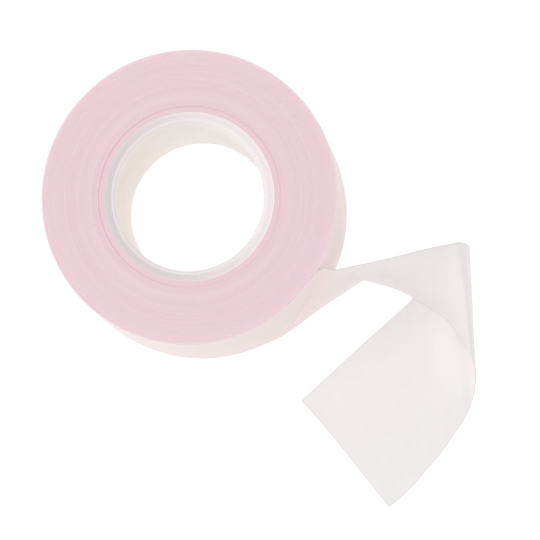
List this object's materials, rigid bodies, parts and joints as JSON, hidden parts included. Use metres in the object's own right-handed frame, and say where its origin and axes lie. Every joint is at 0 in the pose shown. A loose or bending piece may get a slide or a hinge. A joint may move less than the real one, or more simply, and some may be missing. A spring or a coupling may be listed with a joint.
{
  "type": "correction tape roll",
  "caption": "Roll of pale pink correction tape on a paper core, with a free tail that leaves the roll, turns over once and ends in a square cut.",
  "frame": {"origin": "centre of the core's hole on the end face that the roll rests on", "axes": "+Z along the roll's axis, up from the end it rests on; +X towards the side on which the free tail leaves the roll"},
  "size_m": [0.0726, 0.0756, 0.024],
  "materials": {
    "core_lining_paper": "smooth cream lining paper, matt",
    "core_board": "pale grey-white board, cut edge, matt",
    "core_wrap_paper": "white wrapping paper, matt",
    "tape_edges_tight": "tight wound tape edges, satin",
    "tape_edges": "wound tape edges with fine rings, satin",
    "tape_backing": "smooth pale backing, matt with a slight sheen",
    "tape_adhesive": "dry-looking adhesive coat, soft sheen"
  },
  "bodies": {
    "roll": {"core_liner": "core_lining_paper", "core_board": "core_board", "core_wrap": "core_wrap_paper", "starter_turns": "tape_edges_tight", "tape_pack": "tape_edges"},
    "outer_turn": {"last_turn": "tape_backing", "tail_root_backing": "tape_backing", "tail_root_adhesive": "tape_adhesive"},
    "tail": {"tail_span_backing": "tape_backing", "tail_span_adhesive": "tape_adhesive", "tail_flap_backing": "tape_backing", "tail_flap_adhesive": "tape_adhesive"},
    "tail_end": {"tail_end_backing": "tape_backing", "tail_end_adhesive": "tape_adhesive"}
  },
  "joints": [
    {"name": "unwind", "type": "hinge", "parent": "roll", "child": "outer_turn", "pos_m": [0, 0, 0.012], "axis": [0, 0, 1], "continuous": true},
    {"name": "tail_swing", "type": "hinge", "parent": "outer_turn", "child": "tail", "pos_m": [0.02755, -0.0116, 0.012], "axis": [-0.0292, -0.025, 0.9993], "range_deg": [-10, 60]},
    {"name": "end_lift", "type": "hinge", "parent": "tail", "child": "tail_end", "pos_m": [0.0351, -0.0162, 0.0016], "axis": [-0.2324, 0.9715, 0.0457], "range_deg": [0, 70]}
  ]
}
